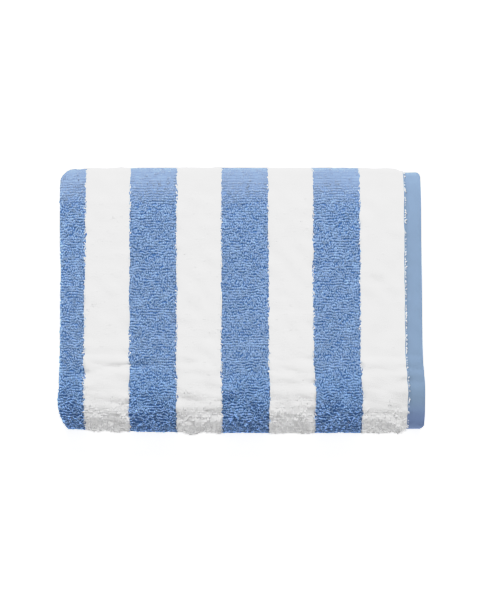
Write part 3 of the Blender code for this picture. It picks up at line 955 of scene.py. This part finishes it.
        # painted shade: each loop darker from its crown down to its feet
        fall = (self.crown[chosen, None] - local[..., 2]) / (CROWN_HEIGHT - ROOT_HEIGHT)
        shade = (fall.clip(0, 1) * self.deep[chosen, None]).ravel()
        local = local.reshape(-1, 3)
        each = len(self.at_station)
        root = np.repeat(self.along[chosen], each)
        along = root + local[:, 1] * self.stretch(chosen, each)
        across = np.repeat(self.across[chosen], each) + local[:, 0]
        places = self.cloth.point(along, across, local[:, 2])
        places[:, 2] = np.maximum(places[:, 2], PILE_FLOOR_CLEAR)
        mesh = bpy.data.meshes.new(name)
        mesh.vertices.add(len(places))
        mesh.vertices.foreach_set("co", places.astype(np.float32).ravel())
        corners, starts = self.faces(len(chosen))
        mesh.loops.add(len(corners))
        mesh.loops.foreach_set("vertex_index", corners)
        mesh.polygons.add(len(starts))
        mesh.polygons.foreach_set("loop_start", starts)
        mesh.update(calc_edges=True)
        mesh.shade_smooth()
        strips = max(1, round(math.sqrt(np.ptp(root) / np.ptp(across))))
        add_flat_map(mesh, across, along, root, strips)
        shown = {"tone": self.tone, "faded": self.faded, "rich": self.rich}
        keep_on(mesh, {label: np.repeat(numbers[chosen], each) for label, numbers in shown.items()})
        keep_on(mesh, {"shade": shade})
        return mesh

    def stretch(self, chosen, each):
        """How much less a distance is on the middle line than on the skin, which is longer round a roll."""
        on_line = self.cloth.length
        rate = np.gradient(on_line) / np.maximum(np.gradient(self.cloth.skin_length), SKIN_STEP_LEAST)
        return np.repeat(np.clip(np.interp(self.along[chosen], on_line, rate), *SKIN_RATES), each)

    def faces(self, count):
        """The faces of that many loops, pointing out: their corners in order, and where each face starts."""
        rings = []
        for station in range(len(LOOP_STATIONS)):
            found = np.flatnonzero(self.at_station == station)
            rings.append([int(found[side % len(found)]) for side in range(len(YARN_SIDES))])
        one = []
        for low, high in zip(rings, rings[1:]):
            for side in range(len(low)):
                face = (low[side], high[side], high[side - len(low) + 1], low[side - len(low) + 1])
                one.append(tuple(dict.fromkeys(face)))
        corners = np.array([corner for face in one for corner in face], np.int32)
        starts = np.cumsum([0] + [len(face) for face in one[:-1]]).astype(np.int32)
        steps = np.arange(count, dtype=np.int32)[:, None]
        every = (steps * len(self.at_station) + corners).ravel()
        return every, (steps * len(corners) + starts).ravel()


def build_pile(cloth, rng):
    """The pile, one piece for each stripe of the towel's half width, with its colour."""
    pile = Pile(cloth, rng)
    pieces = []
    for number in range(STRIPES // 2 + 1):
        colour = "blue" if number % 2 == 0 else "white"
        chosen = np.flatnonzero(pile.stripe == number)
        name = f"{colour}_pile_{number}"
        piece = bpy.data.objects.new(name, pile.mesh(name, chosen))
        bpy.context.scene.collection.objects.link(piece)
        pieces.append((piece, colour))
    return pieces


# ---------------------------------------------------------------- finishes


class Wire:
    """A shader socket that can be used in sums, so that a pattern reads as an expression."""

    def __init__(self, finish, socket):
        self.finish = finish
        self.socket = socket

    def math(self, operation, *values):
        return self.finish.node("ShaderNodeMath", {"operation": operation}, dict(enumerate(values)))

    def __add__(self, other):
        return self.math("ADD", self, other)

    def __sub__(self, other):
        return self.math("SUBTRACT", self, other)

    def __rsub__(self, other):
        return self.math("SUBTRACT", other, self)

    def __mul__(self, other):
        return self.math("MULTIPLY", self, other)

    def __mod__(self, other):
        return self.math("FLOORED_MODULO", self, other)

    def __gt__(self, other):
        return self.math("GREATER_THAN", self, other)

    def __lt__(self, other):
        return self.math("LESS_THAN", self, other)

    def __abs__(self):
        return self.math("ABSOLUTE", self)

    __radd__ = __add__
    __rmul__ = __mul__

    def either(self, other):
        """1 where one of two masks is."""
        return self.math("MAXIMUM", self, other)

    def wave(self):
        return self.math("SINE", self)

    def between(self, low, high):
        """From low, where the pattern is 0, to high, where it is 1."""
        return low + self * (high - low)


class Finish:
    """A material with a Principled shader, and the means to write its patterns."""

    def __init__(self, name, **constants):
        self.material = bpy.data.materials.new(name)
        self.material.use_nodes = True
        self.nodes = self.material.node_tree.nodes
        self.links = self.material.node_tree.links
        self.shader = self.nodes["Principled BSDF"]
        for socket, value in constants.items():
            self.set(self.shader.inputs[socket.replace("_", " ")], value)

    def node(self, kind, settings, values, output=0):
        """A node of that type with its settings and its sockets' values or links, as a wire."""
        made = self.nodes.new(kind)
        for name, value in settings.items():
            setattr(made, name, value)
        for key, value in values.items():
            self.set(made.inputs[key], value)
        return Wire(self, made.outputs[output])

    def set(self, socket, value):
        if isinstance(value, Wire):
            self.links.new(value.socket, socket)
        elif hasattr(socket.default_value, "__len__") and len(value) == 3 and socket.type == "RGBA":
            socket.default_value = (*value, 1.0)
        else:
            socket.default_value = value

    def stored(self, name):
        """A number kept on the mesh."""
        return self.node("ShaderNodeAttribute", {"attribute_name": name}, {}, "Fac")

    def place(self, across, along):
        """A vector on the flat cloth, in metres."""
        return self.node("ShaderNodeCombineXYZ", {}, {"X": across, "Y": along})

    def noise(self, where, swells, detail=2.0, rough=0.5):
        """Noise from 0 to 1 with that many swells a metre."""
        values = {"Vector": where, "Scale": swells, "Detail": detail, "Roughness": rough}
        return self.node("ShaderNodeTexNoise", {}, values, "Fac")

    def mix(self, share, first, second):
        """A colour between two."""
        values = {0: share, 6: first, 7: second}
        return self.node("ShaderNodeMix", {"data_type": "RGBA"}, values, 2)

    def shade(self, colour, by):
        """A colour made lighter or darker by a factor."""
        values = {0: colour, "Scale": by}
        return self.node("ShaderNodeVectorMath", {"operation": "SCALE"}, values)

    def paint(self, colour, rough, height, depth):
        """Links the pattern's colour, roughness and relief to the shader."""
        self.set(self.shader.inputs["Base Color"], colour)
        self.set(self.shader.inputs["Roughness"], rough)
        values = {"Height": height, "Distance": depth, "Strength": 1.0}
        self.set(self.shader.inputs["Normal"], self.node("ShaderNodeBump", {}, values))
        return self.material


# Colours, as the light leaves them
# painted shade: the blue ground cloth, darkened as the shade between the loops; the blue loops' feet take it
# too
SHADED_GROUND_BLUE = (0.062, 0.146, 0.344)
# painted light: the blue ground made paler on the back roll, as the light falling there shows it
GROUND_PAINTED_PALE = (0.276, 0.372, 0.538)
# painted light: the white ground is lighter than the white yarn, lifting the shade between the loops
LIFTED_WHITE_GROUND = (0.86, 0.86, 0.86)
HEM_BLUE = (0.215, 0.310, 0.450)
# painted shade: the hem's blue where the front roll turns down
HEM_PAINTED_SHADE = (0.170, 0.242, 0.425)
FLOOR_COLOUR = (0.93, 0.93, 0.93)
LIT_WHITE = (1.0, 1.0, 1.0)
# A yarn's colours: its crown; its feet, darkened as painted shade; its crown made paler by painted light on
# the back roll; its crown tinted by painted light on the slope; and its spread
Yarn = namedtuple("Yarn", "crown feet worn rich spread")
YARNS = {
    "blue": Yarn(
        crown=(0.268, 0.431, 0.693),
        feet=SHADED_GROUND_BLUE,
        worn=GROUND_PAINTED_PALE,
        rich=(0.254, 0.446, 0.752),
        spread=0.14,  # how much one loop differs from the next
    ),
    "white": Yarn(
        crown=(0.79, 0.79, 0.795),
        feet=(0.46, 0.47, 0.50),
        worn=(0.79, 0.79, 0.795),
        rich=(0.79, 0.79, 0.795),
        spread=0.04,
    ),
}

# The finishes' patterns: lengths in metres, or swells a metre
RAGGED_WIDE = 0.0022  # how far the ground's stripes wander at their borders
RAGGED_STRETCH = 0.25
MOTTLE_SWELLS = 70
BLUE_MOTTLE = (0.95, 1.35)
WHITE_MOTTLE = (0.94, 1.06)
# how much of the back roll's painted light the ground takes
GROUND_PAINTED_PALE_SHARE = 0.7
GROUND_ROUGH = (0.86, 0.96)
WEAVE_ACROSS = 0.0009
WEAVE_ALONG = 0.0007
WOVEN_SHADE = 0.97
WEAVE_SHADE = 0.02
WOVEN_MOTTLE = 0.05
ROW_RELIEF = 0.2
WEAVE_RELIEF = 0.06
GROUND_BUMP = 0.0007
PATCH_SWELLS = 45
PATCH_SHARE = 1.3
STREAK_SWELLS = 260
STREAK_STRETCH = 0.35
STRAND_SWELLS = 3200
STRAND_BUMP = 0.00008
YARN_ROUGH = (0.88, 0.98)


def cloth_finish():
    """Ground cloth in stripes with ragged borders, bumpy as its pile, and the flat woven hems."""
    finish = Finish("striped ground cloth", Roughness=0.9, Specular_IOR_Level=0.25)
    across = finish.stored("across")
    along = finish.stored("along")
    flat = finish.place(across, along)
    ragged = finish.noise(finish.place(across * RAGGED_STRETCH, along), 1 / ROW_PITCH, detail=1.0)
    from_middle = abs(across - FOLD_OFF_CENTRE)
    hem = from_middle > STRIPE_WIDTH * STRIPES / 2 - HEM_SHOWN
    wandered = from_middle + (ragged - 0.5) * RAGGED_WIDE
    of_two_stripes = abs(wandered % (2 * STRIPE_WIDTH) - STRIPE_WIDTH)
    inner = of_two_stripes < STRIPE_WIDTH / 2 - BLUE_SPREAD
    white = inner.either(from_middle > STRIPE_WIDTH * (STRIPES // 2))
    end_hem = abs(along - CUT_LENGTH / 2) > CUT_LENGTH / 2 - END_HEM
    flat_cloth = hem.either(end_hem)
    mottle = finish.noise(flat, MOTTLE_SWELLS, detail=3.0, rough=0.6)
    # painted shade between the loops, made paler by painted light on the back roll
    shaded_blue_ground = finish.mix(finish.stored("faded") * GROUND_PAINTED_PALE_SHARE, SHADED_GROUND_BLUE, GROUND_PAINTED_PALE)
    shaded_blue_ground = finish.shade(shaded_blue_ground, mottle.between(*BLUE_MOTTLE))
    lifted_white_ground = finish.shade(LIFTED_WHITE_GROUND, mottle.between(*WHITE_MOTTLE))
    terry = finish.mix(white, shaded_blue_ground, lifted_white_ground)
    weave = (across * (math.tau / WEAVE_ACROSS)).wave() * (along * (math.tau / WEAVE_ALONG)).wave()
    # painted shade on the hems where the front roll turns down
    hem_colour = finish.mix(finish.stored("dimmed"), HEM_BLUE, HEM_PAINTED_SHADE)
    woven_shade = WOVEN_SHADE + weave * WEAVE_SHADE + (mottle - 0.5) * WOVEN_MOTTLE
    woven = finish.shade(hem_colour, woven_shade)
    # painted shade over the whole ground cloth and hems
    colour = finish.shade(finish.mix(flat_cloth, terry, woven), 1.0 - finish.stored("greyed"))
    rows = (along * (math.tau / ROW_PITCH)).wave()
    loops = finish.noise(flat, 1 / LOOP_PITCH)
    terry_relief = loops + rows * (ROW_RELIEF - ROW_RELIEF * white)
    relief = terry_relief + (weave * WEAVE_RELIEF - terry_relief) * flat_cloth
    return finish.paint(colour, rough=mottle.between(*GROUND_ROUGH), height=relief, depth=GROUND_BUMP)


def pile_finish(colour, yarn):
    """Looped cotton: each loop a little lighter or darker, in soft patches and with painted light and shade
    by zone, with painted shade at its feet, and painted light that pales it on the back roll and tints it on
    the slope."""
    cotton = {"Roughness": 0.92, "Specular_IOR_Level": 0.2, "Sheen_Weight": 0.3, "Sheen_Roughness": 0.4}
    finish = Finish(colour + " loops", **cotton)
    across = finish.stored("across")
    along = finish.stored("along")
    flat = finish.place(across, along)
    patches = finish.noise(flat, PATCH_SWELLS, detail=3.0, rough=0.55)
    streaks = finish.noise(finish.place(across * STREAK_STRETCH, along), STREAK_SWELLS)
    uneven = (patches + streaks - 1.0) * (yarn.spread * PATCH_SHARE)
    # each loop's tone, with its painted light and shade, and the soft patches
    lit = 1.0 + finish.stored("tone") * yarn.spread + uneven
    # painted light: the crowns are paler on the back roll
    crown = finish.mix(finish.stored("faded"), yarn.crown, yarn.worn)
    # painted light: the crowns take a more saturated tint on the slope
    crown = finish.mix(finish.stored("rich"), crown, yarn.rich)
    # painted shade: the crown's colour turns to the darker feet colour towards the feet
    looped = finish.shade(finish.mix(finish.stored("shade"), crown, yarn.feet), lit)
    strands = finish.noise(flat, STRAND_SWELLS, detail=1.0)
    return finish.paint(looped, rough=streaks.between(*YARN_ROUGH), height=strands, depth=STRAND_BUMP)


def floor_finish():
    """A pale floor that glows a little, as a lit product table does."""
    colours = {"Base_Color": FLOOR_COLOUR, "Emission_Color": LIT_WHITE, "Emission_Strength": FLOOR_GLOW}
    return Finish("pale floor", Roughness=0.9, Specular_IOR_Level=0.1, **colours).material


# ---------------------------------------------------------------- stage

FLOOR_SIZE = 8.0
FLOOR_GLOW = 1.35
SKY = 0.36
Lamp = namedtuple("Lamp", "name place size power")
LAMPS = (
    Lamp("key softbox", place=(-0.12, 1.90, 1.30), size=1.1, power=64.0),
    Lamp("top softbox", place=(0.1, 0.1, 2.4), size=1.8, power=22.0),
)
CAMERA_TILT = math.radians(4)
CAMERA_FAR = 1.3
LOOKED_AT = Vector((-0.0006, 0.0003, 0.020))
LONG_SIDE_SEEN = 0.6288  # of the picture, at the towel
SENSOR = 36.0
Stop = namedtuple("Stop", "light shown")
HIGHLIGHTS = (
    Stop(light=0.25, shown=0.25),
    Stop(light=0.50, shown=0.50),
    Stop(light=0.70, shown=0.70),
    Stop(light=0.85, shown=0.79),
    Stop(light=1.00, shown=0.836),
    Stop(light=1.20, shown=0.863),
    Stop(light=1.50, shown=0.895),
    Stop(light=2.00, shown=1.0),
)


def build_stage():
    """A plain pale floor, and soft light from above and behind."""
    bpy.ops.mesh.primitive_plane_add(size=FLOOR_SIZE)
    floor = bpy.context.active_object
    floor.name = "floor"
    floor.data.materials.append(floor_finish())
    world = bpy.data.worlds.new("studio")
    world.use_nodes = True
    sky = world.node_tree.nodes["Background"]
    sky.inputs["Color"].default_value = (*LIT_WHITE, 1.0)
    sky.inputs["Strength"].default_value = SKY
    bpy.context.scene.world = world
    for lamp in LAMPS:
        data = bpy.data.lights.new(lamp.name, "AREA")
        data.shape = "SQUARE"
        data.size = lamp.size
        data.energy = lamp.power
        made = bpy.data.objects.new(lamp.name, data)
        made.location = lamp.place
        made.rotation_euler = (-Vector(lamp.place)).to_track_quat("-Z", "Y").to_euler()
        bpy.context.scene.collection.objects.link(made)


def build_camera():
    """The photo's view, nearly overhead."""
    data = bpy.data.cameras.new("camera")
    data.sensor_width = SENSOR
    data.lens = SENSOR / 2 / (LONG_SIDE_SEEN / 2 / CAMERA_FAR)
    camera = bpy.data.objects.new("camera", data)
    away = Vector((0.0, -math.sin(CAMERA_TILT), math.cos(CAMERA_TILT)))
    camera.location = LOOKED_AT + away * CAMERA_FAR
    camera.rotation_euler = (CAMERA_TILT, 0.0, 0.0)
    bpy.context.scene.collection.objects.link(camera)
    bpy.context.scene.camera = camera


def set_exposure():
    """Shows light as a product camera does: as it is up to the mid tones, and the highlights rolled off."""
    view = bpy.context.scene.view_settings
    view.view_transform = "Standard"
    view.use_curve_mapping = True
    brightest = HIGHLIGHTS[-1].light
    view.curve_mapping.white_level = (brightest,) * 3
    every_channel = view.curve_mapping.curves[3]
    every_channel.points[-1].location = (1.0, HIGHLIGHTS[-1].shown)
    for stop in HIGHLIGHTS[:-1]:
        every_channel.points.new(stop.light / brightest, stop.shown)
    view.curve_mapping.update()


# ---------------------------------------------------------------- the towel


def main():
    rng = np.random.default_rng(SEED)
    cloth = FoldedCloth(rng)
    sheet = build_cloth(cloth)
    sheet.data.materials.append(cloth_finish())
    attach(sheet, "root")
    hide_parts("towel")
    finishes = {colour: pile_finish(colour, yarn) for colour, yarn in YARNS.items()}
    for piece, colour in build_pile(cloth, rng):
        piece.data.materials.append(finishes[colour])
        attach(piece, "root")
    build_stage()
    build_camera()
    set_exposure()


main()
